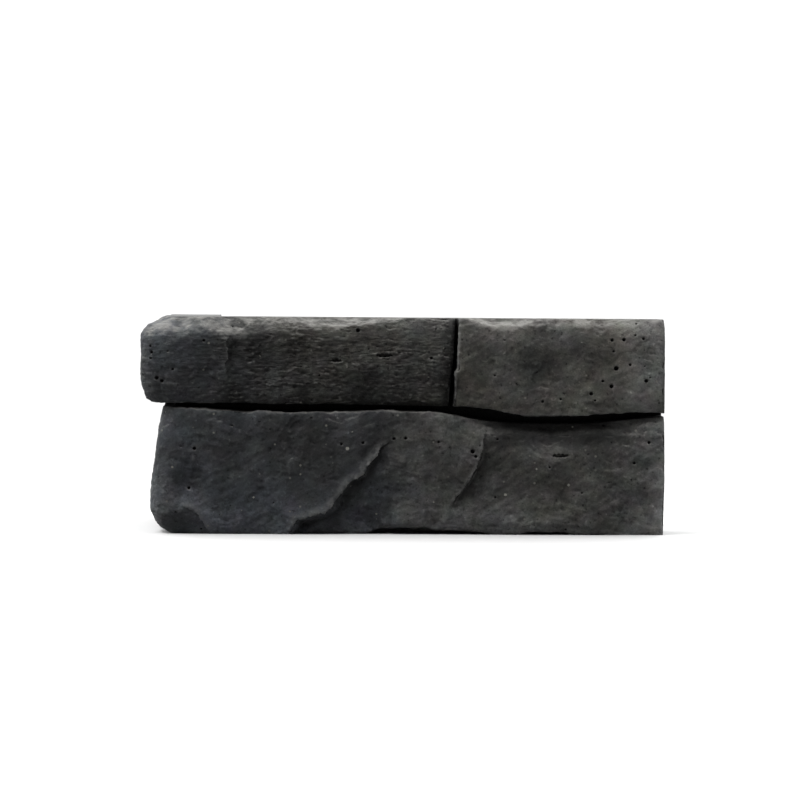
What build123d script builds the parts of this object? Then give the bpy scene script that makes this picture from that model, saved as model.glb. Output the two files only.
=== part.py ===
from build123d import *

import os
from collections import namedtuple
from math import hypot

# Driving dimensions, in millimetres
LENGTH = 248.0  # long leg, outside of the corner to the butt end
RETURN = 114.0  # short leg, outside of the corner to its end
HEIGHT = 102.0  # one course of the wall
THICKNESS = 38.0  # each leg, from its flat back to its proudest stone
BACKING = 21.0  # concrete behind the joints between the stones
CORNER_ROUND = 9.0  # plan rounding of the outside corner
SPARE = 10.0  # how far blanks and cutters run past the part

LEFT, RIGHT = -LENGTH / 2, LENGTH / 2
FRONT, END = -RETURN / 2, RETURN / 2
BACK = FRONT + THICKNESS
INNER = LEFT + THICKNESS

# A station is a place along a leg. The face of a stone stands `back` behind the proudest plane there.
# It leans back by `lean` more up to its top, by `shoulder` at its top arris, by `foot` at its bottom arris.
Station = namedtuple("Station", "along back lean shoulder foot")

# A level is a height on a stone, with the share of the lean, shoulder and foot that applies there.
Level = namedtuple("Level", "z lean shoulder foot")


def set_back(station, level):
    moved = level.lean * station.lean + level.shoulder * station.shoulder + level.foot * station.foot
    return station.back + moved


def level_outline(level, face, side=()):
    """Plan of a stone at one height: its face as one smooth curve, closed by straight lines behind.

    A corner stone has stations on its side too, listed from the end of the return to the corner.
    """
    points = [(station.along, FRONT + set_back(station, level)) for station in face]
    if side:
        x = LEFT + set_back(side[-1], level)
        y = FRONT + set_back(face[0], level)
        near = 0.29 * CORNER_ROUND
        flank = [(LEFT + set_back(station, level), station.along) for station in side]
        corner = [(x, y + CORNER_ROUND), (x + near, y + near), (x + CORNER_ROUND, y)]
        points = flank + corner + points
    first, last = points[0], points[-1]
    rear = END + SPARE if side else BACK
    behind = [last, (last[0], rear), (first[0], rear), first]
    if first[1] == rear:
        behind = behind[:-1]
    outline = Spline(*points) + Polyline(*behind)
    return Pos(0, 0, level.z) * make_face(outline)


def moulded_stone(levels, face, side=()):
    return loft([level_outline(level, face, side) for level in levels], ruled=True)


def seen_from_front(outline):
    """Solid of a closed outline drawn in x and z, right through the part from front to back."""
    return extrude(Plane.XZ * make_face(outline), amount=RETURN, both=True)


def cleave(stone, edge, at, depth, slope, rake):
    """Breaks a flake off a stone's face, to the right of an edge curve drawn from top to bottom.

    The cleavage plane lies `depth` behind the proudest plane at the place `at`, and its depth changes
    by `slope` per millimetre along x and z. The broken edge moves by `rake` in x and z per millimetre
    of depth.
    """
    top, bottom = edge @ 0, edge @ 1
    far = RIGHT + SPARE
    rest = Polyline((bottom.X, bottom.Y), (far, bottom.Y), (far, top.Y), (top.X, top.Y))
    plane = Plane(origin=(at[0], FRONT + depth, at[1]), z_dir=(slope[0], -1, slope[1]))
    flake = Plane.XZ.offset(-FRONT) * make_face(edge + rest)
    block = extrude(flake, amount=RETURN, dir=(rake[0], 1, rake[1]))
    return stone - split(block, bisect_by=plane, keep=Keep.TOP)


def spall(x, back, z, half_width, height, ahead=12.0):
    """Ball that chips an arris: `half_width` along it and `height` across the face, up if positive."""
    flat_radius = (half_width**2 + height**2) / (2 * abs(height))
    centre_z = z + height - flat_radius * (1 if height > 0 else -1)
    return Pos(x, FRONT + back - ahead, centre_z) * Sphere(hypot(flat_radius, ahead))


def pitch(stone, at, outward):
    """Strikes a flat facet on a stone: everything outside the plane through x, back, z `at` comes off."""
    plane = Plane(origin=(at[0], FRONT + at[1], at[2]), z_dir=outward)
    return split(stone, bisect_by=plane, keep=Keep.BOTTOM)


def dish(x, back, z, half_width, depth):
    """Ball that leaves a shallow round hollow in a face."""
    radius = (half_width**2 + depth**2) / (2 * depth)
    return Pos(x, FRONT + back + depth - radius, z) * Sphere(radius)


# Top left stone: a rough bar that turns the corner, with a broad weathered shoulder near the corner
top_levels = [
    Level(59.5, 0.0, 0.00, 1.00),
    Level(63.0, 0.0, 0.00, 0.45),
    Level(69.0, 0.0, 0.00, 0.20),
    Level(80.0, 0.2, 0.00, 0.00),
    Level(93.0, 0.7, 0.05, 0.00),
    Level(97.5, 0.9, 0.28, 0.00),
    Level(102.5, 1.0, 1.00, 0.00),
]
corner_top_side = [
    Station(END + SPARE, 2.0, 0.0, 12.0, 7.0),
    Station(24.0, 1.0, 0.0, 13.0, 7.0),
    Station(-10.0, 0.2, 0.0, 14.0, 7.0),
    Station(-30.0, 0.5, 0.0, 14.0, 7.0),
]
corner_top_face = [
    Station(-94.0, 0.8, 1.0, 11.0, 7.0),
    Station(-60.0, 1.8, 1.0, 10.0, 6.0),
    Station(-25.0, 2.6, 1.5, 5.0, 6.0),
    Station(8.0, 3.0, 1.0, 4.0, 6.0),
    Station(23.0, 4.2, 1.0, 4.0, 6.0),
    Station(29.0, 14.0, 0.0, 1.0, 1.0),
]
corner_top = moulded_stone(top_levels, corner_top_face, corner_top_side)
corner_top &= seen_from_front(
    Spline((LEFT - SPARE, 61.0), (-60.0, 61.4), (-10.0, 60.8), (21.8, 60.4))
    + Spline((21.8, 60.4), (22.6, 71.0), (24.2, 89.0), (24.4, HEIGHT + SPARE))
    + Polyline((24.4, HEIGHT + SPARE), (LEFT - SPARE, HEIGHT + SPARE), (LEFT - SPARE, 61.0))
)
step = Polyline((-84.0, HEIGHT + SPARE), (-82.0, 93.0), (-83.5, 80.0), (-82.0, 68.0), (-86.0, 50.0))
corner_top = cleave(corner_top, step, (-82.0, 80.0), 3.2, (-0.004, 0.010), (0.6, 0.0))
corner_top -= spall(-105.0, 2.0, 97.0, 12.0, -1.6, ahead=20.0)
corner_top -= spall(-80.0, 2.5, 96.5, 15.0, -3.4, ahead=24.0)
corner_top -= spall(-61.0, 3.0, 97.5, 10.0, -1.6, ahead=18.0)
corner_top -= spall(-30.0, 4.0, 99.0, 17.0, -1.0, ahead=20.0)

# Top right stone: a smooth block that stands proud of its neighbour at the joint, ends in a plain butt
block_levels = [
    Level(50.0, 0.0, 0.00, 1.00),
    Level(57.5, 0.0, 0.00, 0.50),
    Level(63.0, 0.1, 0.00, 0.12),
    Level(75.0, 0.4, 0.00, 0.00),
    Level(92.0, 0.8, 0.05, 0.00),
    Level(98.0, 0.9, 0.25, 0.00),
    Level(102.5, 1.0, 1.00, 0.00),
]
butt_top_face = [
    Station(20.0, 1.2, 1.0, 5.0, 2.5),
    Station(45.0, 2.4, 0.0, 5.0, 2.5),
    Station(72.0, 1.4, 1.5, 6.5, 2.5),
    Station(100.0, 1.8, 2.5, 6.0, 2.5),
    Station(RIGHT + SPARE, 4.6, 1.5, 6.0, 2.5),
]
butt_top = moulded_stone(block_levels, butt_top_face)
far = RIGHT + SPARE
butt_top &= seen_from_front(
    Spline((23.6, 60.2), (46.0, 58.3), (61.0, 56.0), (82.0, 56.2), (101.0, 57.5), (far, 56.0))
    + Polyline((far, 56.0), (far, HEIGHT + SPARE), (26.4, HEIGHT + SPARE))
    + Polyline((26.4, HEIGHT + SPARE), (26.2, 89.0), (25.6, 78.2), (24.5, 76.6), (24.4, 69.0), (23.6, 60.2))
)
butt_top -= spall(48.0, 3.0, 99.0, 13.0, -1.2, ahead=20.0)

# Bottom stone: one long slate that turns the corner, with two flakes split off its face
base_levels = [
    Level(-0.5, 0.00, 0.00, 1.00),
    Level(2.5, 0.00, 0.00, 0.55),
    Level(5.0, 0.00, 0.00, 0.28),
    Level(10.0, 0.00, 0.00, 0.03),
    Level(20.0, 0.02, 0.00, 0.00),
    Level(38.0, 0.42, 0.00, 0.00),
    Level(47.0, 0.64, 0.15, 0.00),
    Level(54.0, 0.84, 0.65, 0.00),
    Level(61.5, 1.10, 1.20, 0.00),
]
base_side = [
    Station(END + SPARE, 6.0, 4.0, 0.5, 6.0),
    Station(20.0, 6.0, 4.5, 0.5, 8.0),
    Station(-10.0, 5.8, 5.0, 0.5, 9.0),
    Station(-30.0, 5.8, 5.0, 0.5, 9.0),
]
base_face = [
    Station(-90.0, 1.2, 2.5, 1.0, 4.0),
    Station(-52.0, 0.6, 2.5, 1.0, 2.5),
    Station(-12.0, 0.1, 3.0, 1.0, 2.5),
    Station(30.0, 1.6, 1.5, 3.0, 2.5),
    Station(52.0, 2.0, 1.5, 11.0, 2.5),
    Station(90.0, 1.6, 1.5, 10.0, 2.5),
    Station(RIGHT + SPARE, 3.6, 1.5, 3.0, 2.5),
]
base = moulded_stone(base_levels, base_face, base_side)
base_top = [(LEFT - SPARE, 59.2), (-92.0, 59.0), (-53.0, 57.2), (-30.0, 58.1), (4.0, 58.2)]
base_top += [(20.0, 57.2), (42.0, 53.6), (62.0, 52.7), (93.0, 53.3), (112.0, 55.4), (far, 56.6)]
base &= seen_from_front(
    Spline(*base_top)
    + Polyline((far, 56.6), (far, -SPARE), (LEFT - SPARE, -SPARE), (LEFT - SPARE, 59.2))
)
ridge = Polyline(
    (18.0, 70.0),
    (-4.0, 45.0),
    (-9.0, 41.8),
    (-16.5, 31.5),
    (-18.0, 28.0),
    (-24.0, 25.0),
    (-33.5, 12.2),
    (-38.0, 9.8),
    (-49.5, 6.6),
    (-57.0, -4.0),
)
base = cleave(base, ridge, (-17.0, 27.0), 3.2, (-0.050, -0.125), (0.5, -0.3))
ledge = Polyline(
    (42.0, 70.0),
    (38.4, 47.0),
    (36.8, 37.0),
    (31.6, 25.6),
    (24.6, 16.6),
    (22.6, 12.5),
    (23.5, -8.0),
)
base = cleave(base, ledge, (36.0, 32.0), 3.6, (-0.020, 0.030), (0.5, -0.1))
base = pitch(base, (-92.0, 2.2, 5.0), (-0.12, -1.0, -0.55))
base = pitch(base, (100.0, 2.6, 14.0), (0.06, -1.0, -0.14))
base -= dish(-100.0, 1.2, 26.0, 12.0, 1.4)
base -= spall(1.0, 5.5, 0.0, 20.0, 3.9)
base -= spall(20.0, 4.6, 0.0, 22.0, 2.4)
base -= spall(66.0, 4.6, 0.0, 16.0, 1.4)

# Backing that joins the stones, behind every joint
l_plan = Polyline(
    (LEFT + THICKNESS - BACKING, FRONT + THICKNESS - BACKING),
    (RIGHT, FRONT + THICKNESS - BACKING),
    (RIGHT, BACK),
    (INNER, BACK),
    (INNER, END),
    (LEFT + THICKNESS - BACKING, END),
    (LEFT + THICKNESS - BACKING, FRONT + THICKNESS - BACKING),
)
backing = extrude(make_face(l_plan), amount=HEIGHT)

# Flat bed, top, backs and ends, as the mould leaves them
flat_sides = Polyline(
    (LEFT - SPARE, FRONT - SPARE),
    (RIGHT, FRONT - SPARE),
    (RIGHT, BACK),
    (INNER, BACK),
    (INNER, END),
    (LEFT - SPARE, END),
    (LEFT - SPARE, FRONT - SPARE),
)
mould = extrude(make_face(flat_sides), amount=HEIGHT)
veneer_corner = (corner_top + butt_top + base + backing) & mould

os.makedirs("parts", exist_ok=True)
export_step(veneer_corner, "parts/veneer_corner.step")
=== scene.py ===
import math

import bmesh
import bpy
import numpy as np
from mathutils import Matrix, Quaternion, Vector
from mathutils.bvhtree import BVHTree


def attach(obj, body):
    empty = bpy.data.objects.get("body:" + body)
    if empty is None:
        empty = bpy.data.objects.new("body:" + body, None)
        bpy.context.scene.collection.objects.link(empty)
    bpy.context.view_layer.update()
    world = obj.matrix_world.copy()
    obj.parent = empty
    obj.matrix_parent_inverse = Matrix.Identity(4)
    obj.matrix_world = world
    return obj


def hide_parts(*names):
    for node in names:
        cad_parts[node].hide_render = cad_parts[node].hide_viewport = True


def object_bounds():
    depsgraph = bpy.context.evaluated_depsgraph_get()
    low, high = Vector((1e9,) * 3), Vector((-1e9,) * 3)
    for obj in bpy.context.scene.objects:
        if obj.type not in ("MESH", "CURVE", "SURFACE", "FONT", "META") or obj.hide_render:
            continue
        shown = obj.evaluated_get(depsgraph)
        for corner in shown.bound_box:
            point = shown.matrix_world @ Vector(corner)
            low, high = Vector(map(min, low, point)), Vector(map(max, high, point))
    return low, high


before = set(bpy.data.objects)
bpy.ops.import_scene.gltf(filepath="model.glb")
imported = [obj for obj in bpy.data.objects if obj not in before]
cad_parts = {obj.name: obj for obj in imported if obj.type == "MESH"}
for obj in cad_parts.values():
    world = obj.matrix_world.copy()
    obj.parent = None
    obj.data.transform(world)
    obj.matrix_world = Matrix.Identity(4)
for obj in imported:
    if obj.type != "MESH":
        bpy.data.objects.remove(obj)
cad_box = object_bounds()

# Cast corner
# One L-shaped casting of lightweight concrete, dyed charcoal right through and poured face down in
# a rubber mould taken from split ledgestone. The mould gives it the grain of the stone, trapped air
# leaves round pits, and the backs, bed, top and ends come out flat.
MM = 0.001
LOW = np.array(cad_box[0])
HIGH = np.array(cad_box[1])
THICKNESS = 38 * MM  # each leg, from its flat back to its proudest stone
BACK = THICKNESS - HIGH[1]
INNER = THICKNESS - HIGH[0]
VOXEL = 0.5 * MM  # width of the faces that the relief moves
TRIANGLES = 188000

cast_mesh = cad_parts["veneer_corner"].data.copy()
bm = bmesh.new()
bm.from_mesh(cast_mesh)
bmesh.ops.remove_doubles(bm, verts=bm.verts, dist=1e-6)
bm.to_mesh(cast_mesh)
bm.free()
casting = bpy.data.objects.new("cast_corner", cast_mesh)
bpy.context.collection.objects.link(casting)


def made_plain(piece):
    """The piece as its modifiers leave it, as a plain mesh."""
    done = bpy.data.meshes.new_from_object(piece.evaluated_get(bpy.context.evaluated_depsgraph_get()))
    piece.modifiers.clear()
    piece.data = done
    return done


# The chip out of the top edge runs on over the backing, cut by a large ball
CHIP_RADIUS = 146.4 * MM
CHIP_CENTRE = (-30 * MM, LOW[1] - 16 * MM, 243 * MM)
bpy.ops.mesh.primitive_uv_sphere_add(segments=256, ring_count=128, radius=CHIP_RADIUS)
ball = bpy.context.object
ball.location = CHIP_CENTRE
chip = casting.modifiers.new("chip", "BOOLEAN")
chip.object = ball
made_plain(casting)
bpy.data.objects.remove(ball)

even = casting.modifiers.new("even_faces", "REMESH")
even.mode = "VOXEL"
even.voxel_size = VOXEL
even.use_smooth_shade = True
cast_mesh = made_plain(casting)


def places(mesh):
    """The places of the mesh's vertices, in metres."""
    co = np.empty(len(mesh.vertices) * 3, np.float32)
    mesh.vertices.foreach_get("co", co)
    return co.reshape(-1, 3).astype(float)


def normals(mesh):
    """The outward normals of the mesh's vertices."""
    no = np.empty(len(mesh.vertices) * 3, np.float32)
    mesh.vertex_normals.foreach_get("vector", no)
    return no.reshape(-1, 3).astype(float)


def edges_of(mesh):
    """The two vertices of each edge of the mesh."""
    ends = np.empty(len(mesh.edges) * 2, np.int32)
    mesh.edges.foreach_get("vertices", ends)
    return ends.reshape(-1, 2)


def on_flat_side(co, no):
    """Which vertices lie on the backs, the bed, the top or the two ends."""
    flat = np.zeros(len(co), bool)
    backs = ((1, BACK, 1), (0, INNER, 1))
    bed_and_top = ((2, LOW[2], -1), (2, HIGH[2], 1))
    butts = ((0, HIGH[0], 1), (1, HIGH[1], 1))
    for axis, level, sign in backs + bed_and_top + butts:
        flat |= (np.abs(co[:, axis] - level) < 0.1 * MM) & (no[:, axis] * sign > 0.98)
    return flat


# The flat sides keep few faces away from their edges, so that the stone faces can have many
EDGE_RINGS = 4
FLATS_TAKEN = 0.97
inside = on_flat_side(places(cast_mesh), normals(cast_mesh))
ends = edges_of(cast_mesh)
for ring in range(EDGE_RINGS):
    near = (~inside)[ends].any(axis=1)
    inside[ends[near].ravel()] = False
group = casting.vertex_groups.new(name="flat")
group.add(np.nonzero(inside)[0].tolist(), 1.0, "REPLACE")
thin = casting.modifiers.new("thin_flats", "DECIMATE")
thin.vertex_group = "flat"
thin.ratio = 1 - FLATS_TAKEN * inside.mean()
cast_mesh = made_plain(casting)
casting.vertex_groups.clear()

# Air pits on the long face in millimetres: x, z and radius
PITS = [
    (100.7, 78.9, 1.2), (98.4, 70.4, 1.0), (114.9, 73.1, 1.0), (104.3, 92.4, 0.95), (88.7, 66.9, 0.95),
    (98.6, 92.1, 0.85), (113.7, 93.0, 0.75), (65.8, 63.1, 0.75), (107.2, 80.6, 0.7), (94.2, 72.9, 0.7),
    (99.4, 86.9, 0.65), (74.3, 64.3, 0.65), (90.6, 63.7, 0.6), (109.7, 94.5, 0.55), (116.7, 74.6, 0.5),
    (-115.5, 73.2, 1.0), (-113.1, 71.8, 0.9), (-21.3, 96.0, 1.0), (13.3, 83.1, 0.8), (-93.5, 90.9, 0.75),
    (-108.0, 77.3, 0.65), (-118.5, 88.1, 0.65), (-118.0, 85.2, 0.7), (-118.4, 82.4, 0.65),
    (-121.6, 74.6, 0.6), (33.0, 39.4, 1.1), (34.5, 37.0, 0.8), (-97.7, 40.3, 0.9), (-100.2, 21.7, 0.8),
    (-4.1, 45.2, 0.8), (1.4, 45.5, 0.8), (116.5, 43.9, 0.8), (109.5, 34.2, 0.75), (-28.8, 42.6, 0.7),
    (-18.7, 43.2, 0.7), (16.9, 43.8, 0.7), (44.8, 45.1, 0.65), (95.2, 52.0, 0.65), (-106.4, 10.3, 0.6),
]
# Slits where two layers of the stone part: x from, x to, z and half height
SLITS = [(-33.4, -29.0, 81.7, 0.7), (-12.2, -5.4, 84.4, 0.8), (71.3, 77.9, 37.5, 0.8)]
# Pale sand grains that show in the face: x, z and radius
GRAINS = [
    (-26.0, 40.5, 1.0), (-23.7, 48.3, 0.7), (-32.8, 33.6, 0.6), (-54.4, 21.8, 0.7), (-69.9, 17.4, 0.55),
    (-75.5, 11.3, 0.5), (48.6, 19.0, 0.8), (63.3, 31.2, 0.6), (14.8, 15.4, 0.6), (80.6, 51.1, 0.5),
    (78.5, 23.7, 0.75),
]
# Smaller ones strewn over all the stone faces: how many, and the smallest and the largest radius
SMALL_PITS = (45, 0.35, 0.6)
SMALL_GRAINS = (3, 0.3, 0.45)

rng = np.random.default_rng(7)
skin = BVHTree.FromPolygons([v.co for v in cast_mesh.vertices], [p.vertices for p in cast_mesh.polygons])
co, no = places(cast_mesh), normals(cast_mesh)
moulded = np.nonzero(~on_flat_side(co, no) & (co[:, 2] > 2 * MM) & (co[:, 2] < 100 * MM))[0]


def on_face(x, z):
    """The place on the long leg's face at x and z in millimetres."""
    return skin.ray_cast(Vector((x * MM, LOW[1] - 0.01, z * MM)), Vector((0, 1, 0)))[0]


def point_cloud(name, spots):
    """An object of loose points, each with its radius."""
    mesh = bpy.data.meshes.new(name)
    mesh.from_pydata([tuple(spot[0]) for spot in spots], [], [])
    radii = np.array([spot[1] for spot in spots], np.float32)
    mesh.attributes.new("radius", "FLOAT", "POINT").data.foreach_set("value", radii)
    cloud = bpy.data.objects.new(name, mesh)
    bpy.context.collection.objects.link(cloud)
    return cloud


def scattered(count, smallest, largest):
    """Random places on the stone faces, each with a random radius."""
    chosen = rng.choice(moulded, count, replace=False)
    return [(co[i] + rng.uniform(-0.3, 0.3, 3) * MM, rng.uniform(smallest, largest) * MM) for i in chosen]


pit_spots = [(on_face(x, z), r * MM) for x, z, r in PITS]
for x0, x1, z, r in SLITS:
    count = int((x1 - x0) / (0.3 * r)) + 1
    for i, x in enumerate(np.linspace(x0, x1, count)):
        swell = 0.75 + 0.4 * math.sin(math.pi * i / (count - 1))
        pit_spots.append((on_face(x, z + 0.2 * math.sin(0.8 * i)), r * swell * MM))
pit_spots += scattered(*SMALL_PITS)
grain_spots = [(on_face(x, z), r * MM) for x, z, r in GRAINS]
grain_spots += scattered(*SMALL_GRAINS)
pits = point_cloud("air_pits", pit_spots)
grains = point_cloud("pale_grains", grain_spots)

# Finer faces round each pit and grain
bm = bmesh.new()
bm.from_mesh(cast_mesh)
chosen = np.zeros(len(co), bool)
for centre, radius in pit_spots + grain_spots:
    chosen |= ((co - np.array(centre)) ** 2).sum(axis=1) < (1.4 * radius + 0.25 * MM) ** 2
split = [e for e in bm.edges if chosen[e.verts[0].index] and chosen[e.verts[1].index]]
bmesh.ops.subdivide_edges(bm, edges=split, cuts=1, use_grid_fill=True)
bmesh.ops.triangulate(bm, faces=[f for f in bm.faces if len(f.verts) > 4])
bm.to_mesh(cast_mesh)
bm.free()

co, no, ends = places(cast_mesh), normals(cast_mesh), edges_of(cast_mesh)


def shared(values):
    """The mean of each vertex's neighbours."""
    here, there = ends.T.ravel(), ends[:, ::-1].T.ravel()
    columns = values.reshape(len(values), -1).T
    total = [np.bincount(here, column[there], len(values)) for column in columns]
    return (np.array(total) / np.bincount(here, minlength=len(values))).T.reshape(values.shape)


def stands_out(rings):
    """How far each vertex stands in front of its neighbourhood, in millimetres."""
    smooth = co
    for ring in range(rings):
        smooth = 0.5 * smooth + 0.5 * shared(smooth)
    out = ((co - smooth) * no).sum(axis=1) / MM
    return 0.5 * out + 0.5 * shared(out)


def ramp(value, low, high):
    """Nothing up to `low` and one from `high` on, with a smooth rise between them."""
    t = np.clip((value - low) / (high - low), 0, 1)
    return t * t * (3 - 2 * t)


def band(value, start, full, fade, end):
    """One from `full` to `fade`, running out to nothing at `start` and `end`."""
    return ramp(value, start, full) * (1 - ramp(value, fade, end))


def patch_of_face(at_x, at_z, wide, high):
    """One at a place on the long face, fading out round it over the half width and the half height."""
    return np.exp(-((x - at_x) / wide) ** 2 - ((z - at_z) / high) ** 2)


def ragged_across():
    """x in millimetres, pushed to and fro with the height, for a change that follows a ragged line."""
    return x + 2.5 * np.sin(0.31 * z) + 1.5 * np.sin(0.83 * z + 1) + 0.8 * np.sin(1.9 * z + 2)


def keep(mesh, name, values):
    """Keeps a value for each vertex under a name that the nodes can read."""
    mesh.attributes.new(name, "FLOAT", "POINT").data.foreach_set("value", values.astype(np.float32))


# Where a split edge is rubbed down until it hardly shows, in millimetres: x, z, half width and half height
RUBBED = [(-83, 66, 7, 12), (-108, 95, 22, 5), (-66, 95, 24, 4), (74, 95, 50, 4)]
RUBBING_RINGS = 60
x, y, z = (co / MM).T
share = np.zeros(len(co))
for spot in RUBBED:
    share = np.maximum(share, patch_of_face(*spot) * (no[:, 1] < -0.2))
for ring in range(RUBBING_RINGS):
    co += share[:, None] * (shared(co) - co)
cast_mesh.vertices.foreach_set("co", co.astype(np.float32).ravel())
cast_mesh.update()

# How rough each place is: the flat sides and the inside of the joints hardly, the stone faces fully.
# Places are in millimetres, where each change starts, is full, fades and ends.
FLAT_ROUGHNESS = 0.1
GROOVE_DEPTH = (6.0, 9.0)
GROOVE_Z = (50, 53, 61, 64)
JOINT_DEPTH = (4.5, 6.5)
JOINT_X = (21, 22, 26.5, 27.5)
JOINT_FOOT = (57, 59)
flat = on_flat_side(co, no)
rough = np.where(flat, FLAT_ROUGHNESS, 1.0)
for ring in range(EDGE_RINGS):
    rough = np.minimum(rough, shared(rough))
x, y, z = (co / MM).T
deep = np.minimum(x - LOW[0] / MM, y - LOW[1] / MM)
groove = ramp(deep, *GROOVE_DEPTH) * band(z, *GROOVE_Z)
joint = ramp(deep, *JOINT_DEPTH) * band(x, *JOINT_X) * ramp(z, *JOINT_FOOT)
rough *= 1 - 0.85 * np.maximum(groove, joint)
keep(cast_mesh, "rough", rough)

# The top left stone is split in thin layers, plainest towards the corner and on its shoulder
LAYERS_FOOT = (59.5, 62)
LAYERS_RIGHT = (23, 26)
LAYERS_LEFT = (-90, -76)
SHOULDER_Z = (88, 95)
layered = ramp(z, *LAYERS_FOOT) * (1 - ramp(x, *LAYERS_RIGHT))
layered *= 0.5 + 0.5 * ramp(ragged_across(), *LAYERS_LEFT)
layered *= rough
layered *= 1 - 0.6 * ramp(z, *SHOULDER_Z)
keep(cast_mesh, "layered", layered)

# Edges that chip, fewer in the shelter of the groove and on the shoulders under the top
BY_GROOVE = (47, 51, 63, 67)
UNDER_TOP = (84, 90, 98.5, 100)
sheltered = band(z, *BY_GROOVE) + band(z, *UNDER_TOP)
keep(cast_mesh, "edge", ramp(stands_out(14), 0.02, 0.3) * rough * (1 - 0.75 * sheltered))

# Split edges on the long face, in millimetres: x and z down each, the width of the lip that stands proud,
# the width of the foot that lies back, the side of the lip as one looks down the line, how far the edge
# wanders and its share of the full height. Each dies away at both ends.
RIDGE = [(-2, 46), (-9, 41.8), (-16.5, 31.5), (-18, 28), (-24, 25), (-33.5, 12.2), (-38, 9.8)]
RIDGE += [(-49.5, 6.6), (-56, -2)]
LEDGE = [(39.6, 51), (38.6, 47), (37, 37), (31.8, 25.6), (24.8, 16.6), (22, 11)]
JOINT_ARRIS = [(26.3, 102), (26.1, 89), (25.5, 78.2), (24.4, 76.6), (24.3, 69), (23.5, 60)]
CORNER_STEP = [(-82, 95), (-82.5, 86), (-83, 74)]
LAYER_EDGE = [(-24, 71.5), (-34, 70), (-46, 71), (-58, 70), (-72, 71.5)]
LOW_FACET = [(-106, 14), (-98.6, 11), (-94, 5.7), (-89, -1)]
SPLITS = [
    (RIDGE, 4.5, 6.5, 1, 0.3, 1.0),
    (LEDGE, 1.8, 2.5, 1, 0.2, 0.8),
    (JOINT_ARRIS, 1.4, 0.6, -1, 0.0, 0.8),
    (CORNER_STEP, 2, 9, 1, 0.6, 0.5),
    (LAYER_EDGE, 1.2, 3, 1, 0.7, 0.45),
    (LOW_FACET, 5, 8, -1, 0.4, 0.5),
]
lip = np.zeros(len(co))
wander_x = np.sin(0.55 * z + 0.2 * x) + 0.5 * np.sin(1.3 * z - 0.5 * x + 1)
wander_x += 0.3 * np.sin(2.3 * z + 1.1 * x + 2)
wander_z = np.sin(0.45 * x + 0.3 * z + 2) + 0.5 * np.sin(1.1 * x + 0.4 * z)
wander_z += 0.3 * np.sin(2.1 * x - 0.9 * z + 1)
for line, proud, back, side, wander, share in SPLITS:
    nearest, along = np.full(len(co), 99.0), np.zeros(len(co))
    length = sum(math.dist(a, b) for a, b in zip(line, line[1:]))
    passed = 0.0
    across, up = x + wander * wander_x, z + wander * wander_z
    for (x0, z0), (x1, z1) in zip(line, line[1:]):
        dx, dz = x1 - x0, z1 - z0
        t = np.clip(((across - x0) * dx + (up - z0) * dz) / (dx * dx + dz * dz), 0, 1)
        away = np.hypot(across - x0 - t * dx, up - z0 - t * dz)
        on_lip = ((across - x0) * dz - (up - z0) * dx) * side > 0
        closer = away < np.abs(nearest)
        nearest = np.where(closer, np.where(on_lip, away, -away), nearest)
        along = np.where(closer, (passed + t * math.hypot(dx, dz)) / length, along)
        passed += math.hypot(dx, dz)
    here = share * ramp(along, 0, 0.2) * (1 - ramp(along, 0.85, 1))
    raised = np.maximum(1 - nearest / proud, 0)
    laid_back = np.maximum(1 + nearest / back, 0)
    lip += here * np.where(nearest > 0, raised, -laid_back)
lip *= (no[:, 1] < 0.3) * (y < -40) * rough
keep(cast_mesh, "lip", lip)


def add(tree, kind, inputs={}, out=0, **settings):
    """Adds a node with its settings and inputs, each a value or a wire, and gives the output asked for."""
    node = tree.nodes.new(kind)
    for name, value in settings.items():
        setattr(node, name, value)
    for key, value in inputs.items():
        if isinstance(value, bpy.types.NodeSocket):
            tree.links.new(value, node.inputs[key])
        else:
            node.inputs[key].default_value = value
    return node.outputs[out] if node.outputs else None


# The relief moves each vertex along its normal: waves that break into flakes, grain, the layers of the
# top left stone and chipped edges. Then it sinks the pits and lifts the pale grains.
concrete = bpy.data.materials.new("charcoal_cast_concrete")
concrete.use_nodes = True
RELIEF = (
    ("Pits", "Object", pits),
    ("Pale grains", "Object", grains),
    ("Concrete", "Material", concrete),
    ("Wave size", "Float", 16 * MM),
    ("Wave height", "Float", 3.8 * MM),
    ("Flake step", "Float", 0.4 * MM),
    ("Grain size", "Float", 3.2 * MM),
    ("Grain height", "Float", 0.7 * MM),
    ("Stroke length", "Float", 11 * MM),
    ("Stroke width", "Float", 2.2 * MM),
    ("Stroke height", "Float", 0.9 * MM),
    ("Layer length", "Float", 9 * MM),
    ("Layer thickness", "Float", 2.6 * MM),
    ("Layer height", "Float", 0.7 * MM),
    ("Peck size", "Float", 1.3 * MM),
    ("Peck depth", "Float", 0.4 * MM),
    ("Chip size", "Float", 6 * MM),
    ("Chip depth", "Float", 2.0 * MM),
    ("Lip height", "Float", 0.6 * MM),
    # These two are shares of the radius
    ("Pit depth", "Float", -1.5),
    ("Pale grain height", "Float", 0.2),
)
relief = bpy.data.node_groups.new("stone_relief", "GeometryNodeTree")
relief.interface.new_socket("Geometry", in_out="INPUT", socket_type="NodeSocketGeometry")
named = {}
for name, kind, value in RELIEF:
    socket = relief.interface.new_socket(name, in_out="INPUT", socket_type="NodeSocket" + kind)
    named[name] = socket.identifier
relief.interface.new_socket("Geometry", in_out="OUTPUT", socket_type="NodeSocketGeometry")
asked = relief.nodes.new("NodeGroupInput").outputs
place = add(relief, "GeometryNodeInputPosition")
outward = add(relief, "GeometryNodeInputNormal")
rough_here = add(relief, "GeometryNodeInputNamedAttribute", {"Name": "rough"}, data_type="FLOAT")
layers_here = add(relief, "GeometryNodeInputNamedAttribute", {"Name": "layered"}, data_type="FLOAT")
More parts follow.
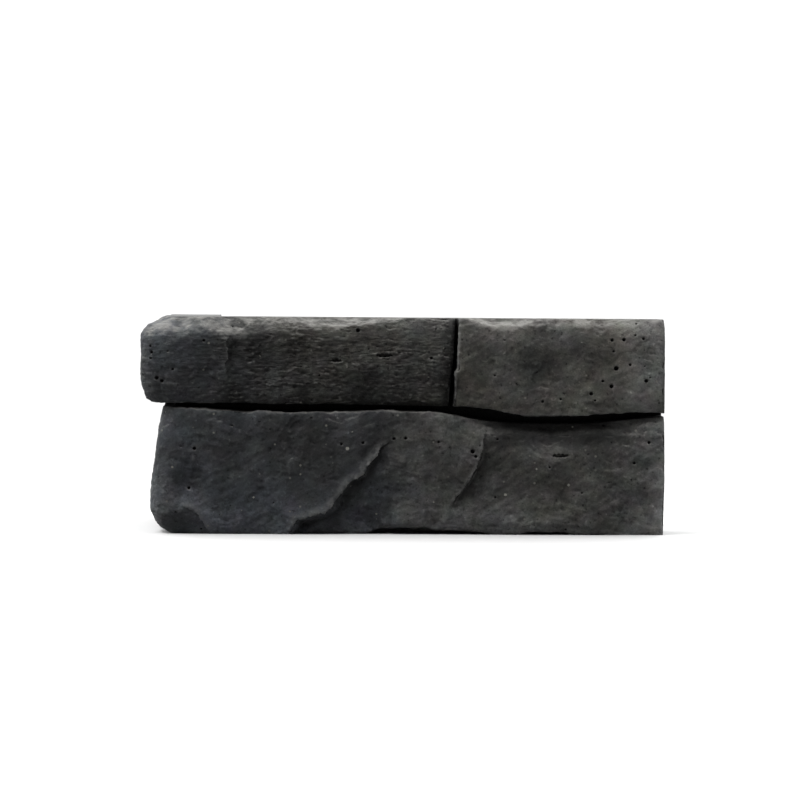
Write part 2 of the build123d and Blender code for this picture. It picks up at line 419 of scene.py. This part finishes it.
lip_here = add(relief, "GeometryNodeInputNamedAttribute", {"Name": "lip"}, data_type="FLOAT")
edge_here = add(relief, "GeometryNodeInputNamedAttribute", {"Name": "edge"}, data_type="FLOAT")
radius_there = add(relief, "GeometryNodeInputNamedAttribute", {"Name": "radius"}, data_type="FLOAT")

# Waves, cut into terraces where flakes have come off
wide = add(relief, "ShaderNodeMath", {0: 1.0, 1: asked["Wave size"]}, operation="DIVIDE")
swell = add(
    relief, "ShaderNodeTexNoise", {"Vector": place, "Scale": wide, "Detail": 4.0, "Roughness": 0.45}
)
swell = add(relief, "ShaderNodeMath", {0: swell, 1: 0.5}, operation="SUBTRACT")
wave = add(relief, "ShaderNodeMath", {0: swell, 1: asked["Wave height"]}, operation="MULTIPLY")
steps = add(relief, "ShaderNodeMath", {0: wave, 1: asked["Flake step"]}, operation="DIVIDE")
whole = add(relief, "ShaderNodeMath", {0: steps}, operation="FLOOR")
part = add(relief, "ShaderNodeMath", {0: steps}, operation="FRACT")
riser = add(relief, "ShaderNodeMapRange", {0: part, 1: 0.7, 2: 1.0}, interpolation_type="SMOOTHSTEP")
terrace = add(relief, "ShaderNodeMath", {0: whole, 1: riser}, operation="ADD")
terrace = add(relief, "ShaderNodeMath", {0: terrace, 1: asked["Flake step"]}, operation="MULTIPLY")
flaking = add(
    relief, "ShaderNodeTexNoise", {"Vector": place, "Scale": wide, "Detail": 1.0}, noise_dimensions="4D"
)
flaking = add(relief, "ShaderNodeMapRange", {0: flaking, 1: 0.42, 2: 0.56})
moved = add(relief, "ShaderNodeMix", {0: flaking, 2: wave, 3: terrace})

# Grain
fine = add(relief, "ShaderNodeMath", {0: 1.0, 1: asked["Grain size"]}, operation="DIVIDE")
grain = add(relief, "ShaderNodeTexNoise", {"Vector": place, "Scale": fine, "Detail": 3.0})
grain = add(relief, "ShaderNodeMath", {0: grain, 1: 0.5}, operation="SUBTRACT")
moved = add(
    relief, "ShaderNodeMath", {0: grain, 1: asked["Grain height"], 2: moved}, operation="MULTIPLY_ADD"
)

# Slanting strokes left by the cleaving, one kind in each half of the patches
far_along = add(relief, "ShaderNodeMath", {0: 1.0, 1: asked["Stroke length"]}, operation="DIVIDE")
close_by = add(relief, "ShaderNodeMath", {0: 1.0, 1: asked["Stroke width"]}, operation="DIVIDE")
drawn = add(relief, "ShaderNodeCombineXYZ", {0: far_along, 1: far_along, 2: close_by})
strokes = []
for slant in (0.5, -0.25):
    turned = add(relief, "ShaderNodeVectorRotate", {"Vector": place, "Axis": (0, 1, 0), "Angle": slant})
    turned = add(relief, "ShaderNodeVectorMath", {0: turned, 1: drawn}, operation="MULTIPLY")
    strokes.append(add(relief, "ShaderNodeTexNoise", {"Vector": turned, "Scale": 1.0, "Detail": 2.0}))
stroke = add(relief, "ShaderNodeMix", {0: flaking, 2: strokes[0], 3: strokes[1]})
stroke = add(relief, "ShaderNodeMath", {0: stroke, 1: 0.5}, operation="SUBTRACT")
moved = add(
    relief, "ShaderNodeMath", {0: stroke, 1: asked["Stroke height"], 2: moved}, operation="MULTIPLY_ADD"
)
moved = add(relief, "ShaderNodeMath", {0: moved, 1: rough_here}, operation="MULTIPLY")

# Layers of the top left stone: each swells towards its top and breaks off there, in patches, finely pecked
flatwise = add(relief, "ShaderNodeMath", {0: 1.0, 1: asked["Layer length"]}, operation="DIVIDE")
upright = add(relief, "ShaderNodeMath", {0: 1.0, 1: asked["Layer thickness"]}, operation="DIVIDE")
stretch = add(relief, "ShaderNodeCombineXYZ", {0: flatwise, 1: flatwise, 2: upright})
laid = add(relief, "ShaderNodeVectorMath", {0: place, 1: stretch}, operation="MULTIPLY")
warp = add(relief, "ShaderNodeTexNoise", {"Vector": laid, "Scale": 0.8, "Detail": 3.0})
height = add(relief, "ShaderNodeSeparateXYZ", {0: place}, out=2)
climb = add(relief, "ShaderNodeMath", {0: height, 1: upright}, operation="MULTIPLY")
climb = add(relief, "ShaderNodeMath", {0: warp, 1: 4.0, 2: climb}, operation="MULTIPLY_ADD")
layer = add(relief, "ShaderNodeMath", {0: climb}, operation="FRACT")
layer = add(relief, "ShaderNodeMath", {0: layer, 1: 0.6}, operation="SUBTRACT")
patch = add(relief, "ShaderNodeTexNoise", {"Vector": place, "Scale": flatwise, "Detail": 2.0})
patch = add(relief, "ShaderNodeMapRange", {0: patch, 1: 0.4, 2: 0.58})
layer = add(relief, "ShaderNodeMath", {0: layer, 1: patch}, operation="MULTIPLY")
layer = add(relief, "ShaderNodeMath", {0: layer, 1: asked["Layer height"]}, operation="MULTIPLY")
pecks = add(relief, "ShaderNodeMath", {0: 1.0, 1: asked["Peck size"]}, operation="DIVIDE")
lying = add(relief, "ShaderNodeVectorMath", {0: place, 1: (0.45, 0.45, 1.0)}, operation="MULTIPLY")
peck = add(relief, "ShaderNodeTexNoise", {"Vector": lying, "Scale": pecks, "Detail": 1.0})
peck = add(relief, "ShaderNodeMapRange", {0: peck, 1: 0.54, 2: 0.72, 3: 0.0, 4: -1.0})
layer = add(relief, "ShaderNodeMath", {0: peck, 1: asked["Peck depth"], 2: layer}, operation="MULTIPLY_ADD")
moved = add(relief, "ShaderNodeMath", {0: layer, 1: layers_here, 2: moved}, operation="MULTIPLY_ADD")

# Lips and feet of the split edges, chips along the edges of the stones
moved = add(
    relief, "ShaderNodeMath", {0: lip_here, 1: asked["Lip height"], 2: moved}, operation="MULTIPLY_ADD"
)
chips = add(relief, "ShaderNodeMath", {0: 1.0, 1: asked["Chip size"]}, operation="DIVIDE")
chip = add(relief, "ShaderNodeTexNoise", {"Vector": place, "Scale": chips, "Detail": 3.0})
chip = add(relief, "ShaderNodeMapRange", {0: chip, 1: 0.44, 2: 0.62, 3: 0.0, 4: -1.0})
chip = add(relief, "ShaderNodeMath", {0: chip, 1: edge_here}, operation="MULTIPLY")
moved = add(relief, "ShaderNodeMath", {0: chip, 1: asked["Chip depth"], 2: moved}, operation="MULTIPLY_ADD")

# Pits and pale grains: full inside two thirds of the radius of the nearest one, nothing outside it
shares = {}
for source, name, depth in (("Pits", "pit", "Pit depth"), ("Pale grains", "pale", "Pale grain height")):
    cloud = add(relief, "GeometryNodeObjectInfo", {"Object": asked[source]}, out="Geometry")
    nearest = add(relief, "GeometryNodeSampleNearest", {"Geometry": cloud, "Sample Position": place})
    found = {"Geometry": cloud, "Index": nearest}
    radius = add(relief, "GeometryNodeSampleIndex", {**found, "Value": radius_there})
    centre = add(relief, "GeometryNodeSampleIndex", {**found, "Value": place}, data_type="FLOAT_VECTOR")
    away = add(relief, "ShaderNodeVectorMath", {0: place, 1: centre}, out="Value", operation="DISTANCE")
    away = add(relief, "ShaderNodeMath", {0: away, 1: radius}, operation="DIVIDE")
    share = add(relief, "ShaderNodeMapRange", {0: away, 1: 0.68, 2: 1.0, 3: 1.0, 4: 0.0})
    shares[name] = share
    sunk = add(relief, "ShaderNodeMath", {0: share, 1: radius}, operation="MULTIPLY")
    moved = add(relief, "ShaderNodeMath", {0: sunk, 1: asked[depth], 2: moved}, operation="MULTIPLY_ADD")
offset = add(relief, "ShaderNodeVectorMath", {0: outward, "Scale": moved}, operation="SCALE")
shaped = add(relief, "GeometryNodeSetPosition", {"Geometry": asked["Geometry"], "Offset": offset})
for name, share in shares.items():
    stored = {"Geometry": shaped, "Name": name, "Value": share}
    shaped = add(relief, "GeometryNodeStoreNamedAttribute", stored)
real = add(relief, "GeometryNodeRealizeInstances", {"Geometry": shaped})
dressed = add(relief, "GeometryNodeSetMaterial", {"Geometry": real, "Material": asked["Concrete"]})
add(relief, "NodeGroupOutput", {"Geometry": dressed})

cut = casting.modifiers.new("relief", "NODES")
cut.node_group = relief
for name, kind, value in RELIEF:
    cut[named[name]] = value
cast_mesh = made_plain(casting)
bpy.data.objects.remove(pits)
bpy.data.objects.remove(grains)

# Nothing stands outside the box of the part: the stone faces are eased under it, the flat sides end at it
EASE = 0.8 * MM
co = places(cast_mesh)
for axis in (0, 1):
    over = LOW[axis] + EASE - co[:, axis]
    eased = LOW[axis] + EASE * np.exp(-np.maximum(over, 0) / EASE)
    co[:, axis] = np.where(over > 0, eased, co[:, axis])
cast_mesh.vertices.foreach_set("co", np.clip(co, LOW, HIGH).astype(np.float32).ravel())
cast_mesh.update()
thin = casting.modifiers.new("thin_faces", "DECIMATE")
thin.ratio = TRIANGLES / sum(len(face.vertices) - 2 for face in cast_mesh.polygons)
cast_mesh = made_plain(casting)
co = np.clip(places(cast_mesh), LOW, HIGH)
cast_mesh.vertices.foreach_set("co", co.astype(np.float32).ravel())
cast_mesh.update()

# How sheltered each place of the stone faces is, for the painted shade in hollows and joints: the share of
# short rays, outward and up, that are stopped. The rays lie in cones, each with its angle and its number of
# rays.
REACH = 18 * MM
START = 0.3  # millimetres in front of the face
CONES = ((0.35, 3), (0.85, 5), (1.25, 6))
no, ends = normals(cast_mesh), edges_of(cast_mesh)
skin = BVHTree.FromPolygons([v.co for v in cast_mesh.vertices], [p.vertices for p in cast_mesh.polygons])
rays = []
for tilt, count in CONES:
    for turn in np.arange(count) * 2 * math.pi / count + tilt:
        across = math.sin(tilt)
        rays.append(Vector((across * math.cos(turn), across * math.sin(turn), math.cos(tilt))))
painted_shade = np.zeros(len(co))
for i in np.nonzero(~on_flat_side(co, no))[0]:
    out = Vector(no[i])
    turn = Vector((0, 0, 1)).rotation_difference(out + Vector((0, 0, 0.5)))
    start = Vector(co[i]) + out * START * MM
    stopped, sent = 0.0, 0
    for ray in rays:
        way = turn @ ray
        if way.dot(out) > 0.1:
            sent += 1
            away = skin.ray_cast(start, way, REACH)[3]
            if away is not None:
                stopped += 1 - 0.5 * away / REACH
    painted_shade[i] = stopped / max(sent, 1)
for ring in range(2):
    painted_shade = 0.5 * painted_shade + 0.5 * shared(painted_shade)

# Painted shade on the sunken top of the lower stone, under the top right one, as in the other hollows
RECESS_X = (32, 50, 94, 116)
RECESS_Z = (33, 48, 56, 57)
RECESS_SHADE = 0.56
x, y, z = (co / MM).T
faced = np.maximum(1 - ramp(y, -38, -32), 1 - ramp(x, -110, -104))
recess = band(x, *RECESS_X) * band(z, *RECESS_Z) * faced
keep(cast_mesh, "painted_shade", np.maximum(painted_shade, RECESS_SHADE * recess))

# Small edges and broad crests that stand out, and cracks and dips that lie back, these not at the top. They
# give the colour its painted light on crests, painted shade in cracks and dips, and part of the wear on
# arrises.
TOP_EDGE = 97.5
for name, rings in (("arris", 6), ("crest", 140)):
    out = stands_out(rings)
    keep(cast_mesh, name, np.where(z > TOP_EDGE, np.maximum(out, 0), out))

# How pale each stone is, with one as the colour of the mix. The lower stone is darkest at its top left and
# pale at its foot, and the top right one grows paler to the right; the top left one has painted shade
# towards the joint and the groove.
top_right = ramp(x, 24, 25) * ramp(z, 55, 59)
top_left = (1 - ramp(x, 24, 25)) * ramp(z, 59, 61)
lower = 1 - top_left - top_right
split_off = ramp(x + 0.95 * (45 - z), -4, 4)
below = (0.63 + 0.88 * (1 - ramp(z, 8, 30))) * (1 - split_off)
below += (1.0 + 0.55 * (1 - ramp(z, 5, 26)) + 0.34 * ramp(x, 40, 75)) * split_off
above_left = 0.78 - 0.16 * ramp(ragged_across(), -90, -70) + 0.24 * ramp(x, -15, 15)
# Painted shade on the top left stone towards the joint and along the groove under it
above_left *= (1 - 0.6 * ramp(x, 15, 22)) * (1 - 0.45 * (1 - ramp(z, 61, 68)))
above_right = 1.06 + 0.62 * ramp(x, 60, 120)
tone = below * lower + above_left * top_left + above_right * top_right
tone *= 1 + 0.7 * ramp(x, 106, 122) * (1 - top_right)
# Patches where the mould's release has left the face pale, in millimetres: x, z, half width, half height
# and how much paler
PALE_PATCHES = [
    (-4, 50, 8, 6, 0.7),
    (-96, 98, 7, 5, 0.3),
    (-68, 95, 12, 4, 0.3),
    (78, 97, 16, 6, 0.35),
    (-104, 17, 9, 2.5, 0.3),
]
for *spot, share in PALE_PATCHES:
    tone *= 1 + share * patch_of_face(*spot) * (no[:, 1] < 0)
BACK_TONE = 0.9
keep(cast_mesh, "tone", BACK_TONE + (tone - BACK_TONE) * faced)
# How far each stone leans from the blue of the dye to the brown
warm = ramp(x, -110, -50) * top_left + (1.15 - 0.35 * ramp(x, 60, 110)) * top_right
warm += 0.6 * ramp(x + 0.8 * z, -60, 60) * lower
keep(cast_mesh, "warm", warm)


def colour(hex_code):
    """The linear colour of an sRGB hex value."""
    values = [int(hex_code[i:i + 2], 16) / 255 for i in (1, 3, 5)]
    return (*[v / 12.92 if v <= 0.04045 else ((v + 0.055) / 1.055) ** 2.4 for v in values], 1.0)


# Charcoal cast concrete: matt and sandy, bluer where the dye lies dense and browner where it is thin,
# mottled by the pour, flecked by fine sand, paler on rubbed arrises and dusty faces that face up, partly as
# painted highlight and painted top light, with painted light and shade on crests, dips and facets and
# painted shade in hollows, joints and pits.
BLUE_DYE = colour("#282a2d")
BROWN_DYE = colour("#2d2c29")
DUST_AND_TOP_LIGHT = colour("#6c6b68")
WORN_AND_LIT_GREY = colour("#555554")
PALE_SAND = colour("#585752")
PALE_GRAIN = colour("#666560")
PINHOLE_SHADE = colour("#0a0a0a")
SHADE = colour("#050505")
PIT_SHADE = colour("#040404")
DYE_PATCH = 55 * MM
TINT_PATCH = 9 * MM
CLOUD = 22 * MM
MOTTLE = 7 * MM
DUST_AND_LIGHT_PATCH = 6 * MM
WORN_PATCH = 2.6 * MM
SPECK_CELL = 2.4 * MM
GRIT = 1.8 * MM
SAND = 0.8 * MM  # drawn coarser than the sand is, so that it shows
DASH_LENGTH, DASH_HEIGHT = 4.5, 1.3  # in millimetres
look = concrete.node_tree
shader = look.nodes["Principled BSDF"]
shader.inputs["IOR"].default_value = 1.5
shader.inputs["Specular IOR Level"].default_value = 0.12
at = add(look, "ShaderNodeTexCoord", out="Object")

# Tints of the dye in broad and in small patches
broad = add(look, "ShaderNodeTexNoise", {"Vector": at, "Scale": 1 / DYE_PATCH, "Detail": 2.0})
warm = add(look, "ShaderNodeAttribute", out="Fac", attribute_name="warm")
broad = add(look, "ShaderNodeMath", {0: broad, 1: 2.0, 2: warm}, operation="MULTIPLY_ADD")
broad = add(look, "ShaderNodeMapRange", {0: broad, 1: 0.8, 2: 2.2})
dye = add(look, "ShaderNodeMix", {0: broad, 6: BLUE_DYE, 7: BROWN_DYE}, out=2, data_type="RGBA")
small = add(look, "ShaderNodeTexNoise", {"Vector": at, "Scale": 1 / TINT_PATCH, "Detail": 3.0}, out=1)
dye = add(look, "ShaderNodeMix", {0: 0.12, 6: dye, 7: small}, out=2, data_type="RGBA", blend_type="OVERLAY")

# Mottle of the pour, grit and sand, and the dark and light dashes of the layered stone
mottle = add(
    look, "ShaderNodeTexNoise", {"Vector": at, "Scale": 1 / MOTTLE, "Detail": 4.0, "Roughness": 0.6}
)
clouds = add(look, "ShaderNodeTexNoise", {"Vector": at, "Scale": 1 / CLOUD, "Detail": 3.0})
grit = add(look, "ShaderNodeTexNoise", {"Vector": at, "Scale": 1 / GRIT, "Detail": 2.0})
sand = add(look, "ShaderNodeTexNoise", {"Vector": at, "Scale": 1 / SAND, "Detail": 1.0})
stretch = (1 / DASH_LENGTH, 1 / DASH_LENGTH, 1 / DASH_HEIGHT)
along = add(look, "ShaderNodeMapping", {"Vector": at, "Scale": stretch})
dash = add(look, "ShaderNodeTexNoise", {"Vector": along, "Scale": 1 / MM, "Detail": 2.0})
dash = add(look, "ShaderNodeMapRange", {0: dash, 1: 0.4, 2: 0.6})
layered = add(look, "ShaderNodeAttribute", out="Fac", attribute_name="layered")
grey = add(look, "ShaderNodeMapRange", {0: mottle, 1: 0.34, 2: 0.66, 3: 0.83, 4: 1.17})
cloudy = add(look, "ShaderNodeMapRange", {0: clouds, 1: 0.34, 2: 0.66, 3: 0.58, 4: 1.42})
grey = add(look, "ShaderNodeMath", {0: grey, 1: cloudy}, operation="MULTIPLY")
fleck = add(look, "ShaderNodeMapRange", {0: grit, 3: -2.2, 4: 2.2})
fleck = add(look, "ShaderNodeMath", {0: fleck, 1: 3.0}, operation="POWER")
fleck = add(look, "ShaderNodeMath", {0: fleck, 1: 0.5, 2: 1.0}, operation="MULTIPLY_ADD")
grey = add(look, "ShaderNodeMath", {0: grey, 1: fleck}, operation="MULTIPLY")
sandy = add(look, "ShaderNodeMapRange", {0: sand, 1: 0.38, 2: 0.62, 3: 0.92, 4: 1.08})
grey = add(look, "ShaderNodeMath", {0: grey, 1: sandy}, operation="MULTIPLY")
dashed = add(look, "ShaderNodeMapRange", {0: dash, 3: 0.82, 4: 1.18})
dashed = add(look, "ShaderNodeMix", {0: layered, 2: 1.0, 3: dashed})
grey = add(look, "ShaderNodeMath", {0: grey, 1: dashed}, operation="MULTIPLY")

# How pale each stone is, with painted light and shade: paler on crests and darker in dips, paler on small
# faces that face up and darker on those that face down, and darker in cracks
tone = add(look, "ShaderNodeAttribute", out="Fac", attribute_name="tone")
grey = add(look, "ShaderNodeMath", {0: grey, 1: tone}, operation="MULTIPLY")
crest = add(look, "ShaderNodeAttribute", out="Fac", attribute_name="crest")
crest = add(look, "ShaderNodeMapRange", {0: crest, 1: -0.8, 2: 0.8, 3: 0.65, 4: 1.35})
grey = add(look, "ShaderNodeMath", {0: grey, 1: crest}, operation="MULTIPLY")
normal = add(look, "ShaderNodeNewGeometry", out="Normal")
upward = add(look, "ShaderNodeSeparateXYZ", {0: normal}, out=2)
painted_top_light = add(look, "ShaderNodeMapRange", {0: upward, 1: -0.4, 2: 0.4, 3: 0.78, 4: 1.22})
grey = add(look, "ShaderNodeMath", {0: grey, 1: painted_top_light}, operation="MULTIPLY")
arris = add(look, "ShaderNodeAttribute", out="Fac", attribute_name="arris")
painted_crack_shade = add(look, "ShaderNodeMapRange", {0: arris, 1: -0.3, 2: -0.03, 3: 0.55, 4: 1.0})
grey = add(look, "ShaderNodeMath", {0: grey, 1: painted_crack_shade}, operation="MULTIPLY")
base = add(look, "ShaderNodeMix", {0: 1.0, 6: dye, 7: grey}, out=2, data_type="RGBA", blend_type="MULTIPLY")

# Dust on the shoulders, partly painted top light, and wear on the arrises and bruised lips, partly a
# painted highlight
dust_and_light_patches = add(
    look, "ShaderNodeTexNoise", {"Vector": at, "Scale": 1 / DUST_AND_LIGHT_PATCH, "Detail": 4.0, "Roughness": 0.6}
)
dust_and_top_light = add(look, "ShaderNodeMapRange", {0: upward, 1: 0.34, 2: 0.88, 3: 0.0, 4: 0.75})
dust_and_light_share = add(look, "ShaderNodeMapRange", {0: dust_and_light_patches, 1: 0.4, 2: 0.6, 3: 0.15, 4: 1.0})
on_stone = add(look, "ShaderNodeAttribute", out="Fac", attribute_name="rough")
dust_and_light_share = add(look, "ShaderNodeMix", {0: on_stone, 2: 0.45, 3: dust_and_light_share})
dust_and_top_light = add(look, "ShaderNodeMath", {0: dust_and_top_light, 1: dust_and_light_share}, operation="MULTIPLY")
dust_and_light_share = add(look, "ShaderNodeMapRange", {0: tone, 1: 0.6, 2: 1.6, 3: 0.85, 4: 1.2})
dust_and_top_light = add(look, "ShaderNodeMath", {0: dust_and_top_light, 1: dust_and_light_share}, operation="MULTIPLY")
base = add(look, "ShaderNodeMix", {0: dust_and_top_light, 6: base, 7: DUST_AND_TOP_LIGHT}, out=2, data_type="RGBA")
# The paler arrises and lips are wear and a painted highlight too
worn = add(look, "ShaderNodeTexNoise", {"Vector": at, "Scale": 1 / WORN_PATCH, "Detail": 3.0})
worn = add(look, "ShaderNodeMapRange", {0: worn, 1: 0.38, 2: 0.58, 3: 0.25, 4: 1.0})
arris = add(look, "ShaderNodeMapRange", {0: arris, 1: 0.06, 2: 0.4, 3: 0.0, 4: 0.6})
lip = add(look, "ShaderNodeAttribute", out="Fac", attribute_name="lip")
lip_wear_and_highlight = add(look, "ShaderNodeMapRange", {0: lip, 1: 0.1, 2: 0.9, 3: 0.0, 4: 0.8})
wear_and_highlight = add(look, "ShaderNodeMath", {0: arris, 1: lip_wear_and_highlight}, operation="MAXIMUM")
wear_and_highlight = add(look, "ShaderNodeMath", {0: wear_and_highlight, 1: worn}, operation="MULTIPLY")
base = add(look, "ShaderNodeMix", {0: wear_and_highlight, 6: base, 7: WORN_AND_LIT_GREY}, out=2, data_type="RGBA")

# Specks of pale sand and pinholes, one in each of some cells of the mix; the pinholes are painted near
# black as shade in them
cell = add(look, "ShaderNodeTexVoronoi", {"Vector": at, "Scale": 1 / SPECK_CELL})
kind = add(look, "ShaderNodeTexVoronoi", {"Vector": at, "Scale": 1 / SPECK_CELL}, out="Color")
kind = add(look, "ShaderNodeSeparateColor", {0: kind})
middle = add(look, "ShaderNodeMapRange", {0: cell, 1: 0.16, 2: 0.3, 3: 1.0, 4: 0.0})
pale_ones = add(look, "ShaderNodeMapRange", {0: kind, 1: 0.94, 2: 1.0, 3: 0.0, 4: 0.8})
pale_ones = add(look, "ShaderNodeMath", {0: middle, 1: pale_ones}, operation="MULTIPLY")
base = add(look, "ShaderNodeMix", {0: pale_ones, 6: base, 7: PALE_SAND}, out=2, data_type="RGBA")
dark_ones = add(look, "ShaderNodeMapRange", {0: kind, 1: 0.18, 2: 0.03, 3: 0.0, 4: 0.9})
dark_ones = add(look, "ShaderNodeMath", {0: middle, 1: dark_ones}, operation="MULTIPLY")
sparse = add(look, "ShaderNodeMapRange", {0: layered, 3: 0.25, 4: 1.0})
dark_ones = add(look, "ShaderNodeMath", {0: dark_ones, 1: sparse}, operation="MULTIPLY")
base = add(look, "ShaderNodeMix", {0: dark_ones, 6: base, 7: PINHOLE_SHADE}, out=2, data_type="RGBA")

# Painted shade in the joints, hollows and pits and at the feet of split edges, pale on the large grains
painted_shade = add(look, "ShaderNodeAttribute", out="Fac", attribute_name="painted_shade")
painted_shade = add(look, "ShaderNodeMapRange", {0: painted_shade, 1: 0.16, 2: 0.6, 3: 0.0, 4: 0.95})
# Painted shade at the foot of each split edge, where the face lies back from its lip
painted_riser_shade = add(look, "ShaderNodeMapRange", {0: lip, 1: -1.0, 2: 0.0, 3: 0.5, 4: 0.0})
painted_shade = add(look, "ShaderNodeMath", {0: painted_shade, 1: painted_riser_shade}, operation="MAXIMUM")
base = add(look, "ShaderNodeMix", {0: painted_shade, 6: base, 7: SHADE}, out=2, data_type="RGBA")
# Painted shade inside the pits
pit = add(look, "ShaderNodeAttribute", out="Fac", attribute_name="pit")
base = add(look, "ShaderNodeMix", {0: pit, 6: base, 7: PIT_SHADE}, out=2, data_type="RGBA")
pale = add(look, "ShaderNodeAttribute", out="Fac", attribute_name="pale")
pale = add(look, "ShaderNodeMapRange", {0: pale, 1: 0.2, 2: 0.7, 3: 0.0, 4: 0.75})
base = add(look, "ShaderNodeMix", {0: pale, 6: base, 7: PALE_GRAIN}, out=2, data_type="RGBA")
look.links.new(base, shader.inputs["Base Color"])

# Matt, a little less so in patches, with grit, sand and dashes too low for the mesh
sheen = add(look, "ShaderNodeMapRange", {0: mottle, 1: 0.3, 2: 0.7, 3: 0.82, 4: 0.96})
look.links.new(sheen, shader.inputs["Roughness"])
rise = add(look, "ShaderNodeMath", {0: sand, 1: 0.25}, operation="MULTIPLY")
rise = add(look, "ShaderNodeMath", {0: grit, 1: 0.4, 2: rise}, operation="MULTIPLY_ADD")
dashes = add(look, "ShaderNodeMath", {0: dash, 1: layered}, operation="MULTIPLY")
rise = add(look, "ShaderNodeMath", {0: dashes, 1: 0.4, 2: rise}, operation="MULTIPLY_ADD")
rise = add(look, "ShaderNodeMath", {0: dark_ones, 1: -0.5, 2: rise}, operation="MULTIPLY_ADD")
bump = add(look, "ShaderNodeBump", {"Strength": 1.0, "Distance": 1.0 * MM, "Height": rise})
look.links.new(bump, shader.inputs["Normal"])

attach(casting, "root")
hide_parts("veneer_corner")

# Floor
# Pale grey paper, rolled out flat under the casting and wide enough to run to the horizon behind it.
# It is matt, and the light from overhead burns it out to white.
FLOOR_WIDTH = 40
bpy.ops.mesh.primitive_plane_add(size=FLOOR_WIDTH)
floor = bpy.context.object
floor.name = "floor"
paper = bpy.data.materials.new("pale_paper")
paper.use_nodes = True
paper.node_tree.nodes["Principled BSDF"].inputs["Base Color"].default_value = colour("#a8a8a8")
paper.node_tree.nodes["Principled BSDF"].inputs["Roughness"].default_value = 0.9
floor.data.materials.append(paper)

# Light
# A white room that is bright overhead and behind, a key softbox with a grid at the upper left, which
# rakes over the face, and a softbox low at each side.
world = bpy.data.worlds.new("studio")
world.use_nodes = True
sky = world.node_tree
way = add(sky, "ShaderNodeTexCoord", out="Generated")
depth = add(sky, "ShaderNodeSeparateXYZ", {0: way}, out=1)
height = add(sky, "ShaderNodeSeparateXYZ", {0: way}, out=2)
height = add(sky, "ShaderNodeMath", {0: height, 1: 0.8}, operation="MULTIPLY")
toward = add(sky, "ShaderNodeMath", {0: depth, 1: 0.6, 2: height}, operation="MULTIPLY_ADD")
strength = add(sky, "ShaderNodeMapRange", {0: toward, 1: 0.26, 2: 0.8, 3: 0.2, 4: 4.0})
sky.nodes["Background"].inputs["Color"].default_value = (1, 1, 1, 1)
sky.links.new(strength, sky.nodes["Background"].inputs["Strength"])
bpy.context.scene.world = world


def softbox(name, place, aim, size, power, spread):
    """A rectangular lamp of so many watts, whose grid narrows its light to `spread` degrees."""
    data = bpy.data.lights.new(name, "AREA")
    data.shape = "RECTANGLE"
    data.size, data.size_y = size
    data.energy = power
    data.spread = math.radians(spread)
    lamp = bpy.data.objects.new(name, data)
    lamp.location = place
    lamp.rotation_euler = (Vector(aim) - Vector(place)).to_track_quat("-Z", "Y").to_euler()
    lamp.visible_camera = False
    bpy.context.collection.objects.link(lamp)


softbox("key", (-0.5, -0.36, 0.85), aim=(0, -0.05, 0.05), size=(0.25, 0.25), power=0.66, spread=40)
for name, side in (("left", -0.7), ("right", 0.7)):
    softbox(name, (side, 0.05, 0.2), aim=(0, 0, 0.05), size=(0.4, 0.4), power=3.0, spread=180)

# Camera
# A camera with a long lens, 1.5 m away, left of the middle of the casting and a little above it, so that
# the face is seen almost straight on. It is rolled by less than half a degree.
ROLL = math.radians(0.42)
eye = Vector((-0.0785, -1.555, 0.117))
aim = Vector((-0.0012, -0.05, 0.0633))
camera = bpy.data.objects.new("camera", bpy.data.cameras.new("camera"))
camera.data.lens = 144
camera.data.sensor_width = 36
camera.location = eye
level = (aim - eye).to_track_quat("-Z", "Y")
camera.rotation_euler = (level @ Quaternion((0, 0, 1), ROLL)).to_euler()
bpy.context.collection.objects.link(camera)
bpy.context.scene.camera = camera
bpy.context.scene.view_settings.view_transform = "Standard"
